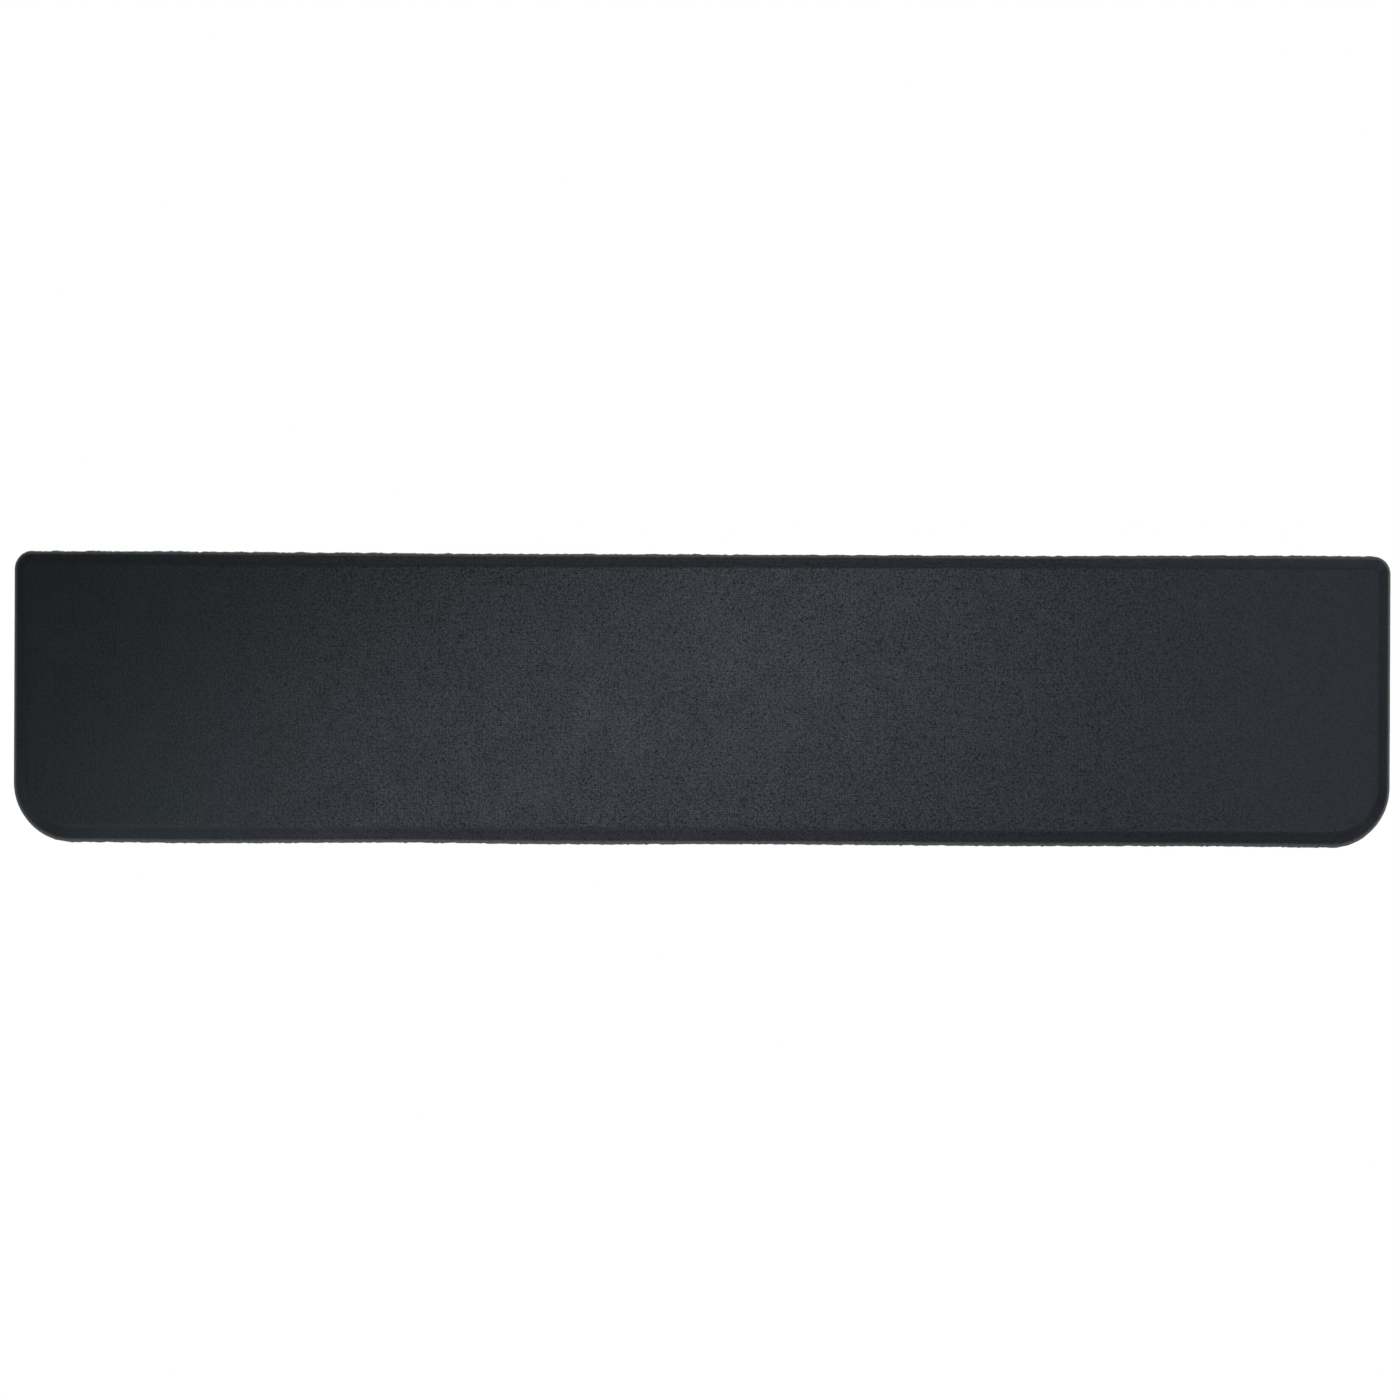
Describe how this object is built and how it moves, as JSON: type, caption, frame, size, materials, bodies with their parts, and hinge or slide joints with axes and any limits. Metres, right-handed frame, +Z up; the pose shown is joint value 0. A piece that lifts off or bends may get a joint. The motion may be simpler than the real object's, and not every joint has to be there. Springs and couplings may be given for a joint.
{
  "type": "kick plate",
  "caption": "Bevelled kick plate wrapped in leather-grain vinyl, round lower corners, held to a door's foot by foam tape under peel-off liners.",
  "frame": {"origin": "middle of the bottom edge, on the plane of the door, where the tapes' adhesive faces lie", "axes": "+X along the width, to the viewer's right when seen from the front; +Z up; -Y is the front, +Y points into the door"},
  "size_m": [0.9652, 0.0092, 0.2032],
  "materials": {
    "grained_vinyl": "charcoal vinyl with a fine leather grain, low sheen",
    "rigid_board": "rigid foamed PVC board, matt grey",
    "backing_sheet": "thin dark needled felt",
    "foam_tape": "black closed-cell acrylic foam",
    "release_film": "thin red polyester film, satin gloss"
  },
  "bodies": {
    "plate": {"facing_skin": "grained_vinyl", "core_board": "rigid_board", "backing_sheet": "backing_sheet", "tape_top": "foam_tape", "tape_bottom": "foam_tape", "tape_middle": "foam_tape", "tape_left": "foam_tape", "tape_right": "foam_tape"},
    "liner_top": {"liner_top": "release_film"},
    "liner_bottom": {"liner_bottom": "release_film"},
    "liner_middle": {"liner_middle": "release_film"},
    "liner_left": {"liner_left": "release_film"},
    "liner_right": {"liner_right": "release_film"}
  },
  "joints": [
    {"name": "liner_top_lift", "type": "slide", "parent": "plate", "child": "liner_top", "axis": [0, 1, 0], "range_m": [0, 0.05]},
    {"name": "liner_bottom_lift", "type": "slide", "parent": "plate", "child": "liner_bottom", "axis": [0, 1, 0], "range_m": [0, 0.05]},
    {"name": "liner_middle_lift", "type": "slide", "parent": "plate", "child": "liner_middle", "axis": [0, 1, 0], "range_m": [0, 0.05]},
    {"name": "liner_left_lift", "type": "slide", "parent": "plate", "child": "liner_left", "axis": [0, 1, 0], "range_m": [0, 0.05]},
    {"name": "liner_right_lift", "type": "slide", "parent": "plate", "child": "liner_right", "axis": [0, 1, 0], "range_m": [0, 0.05]}
  ]
}
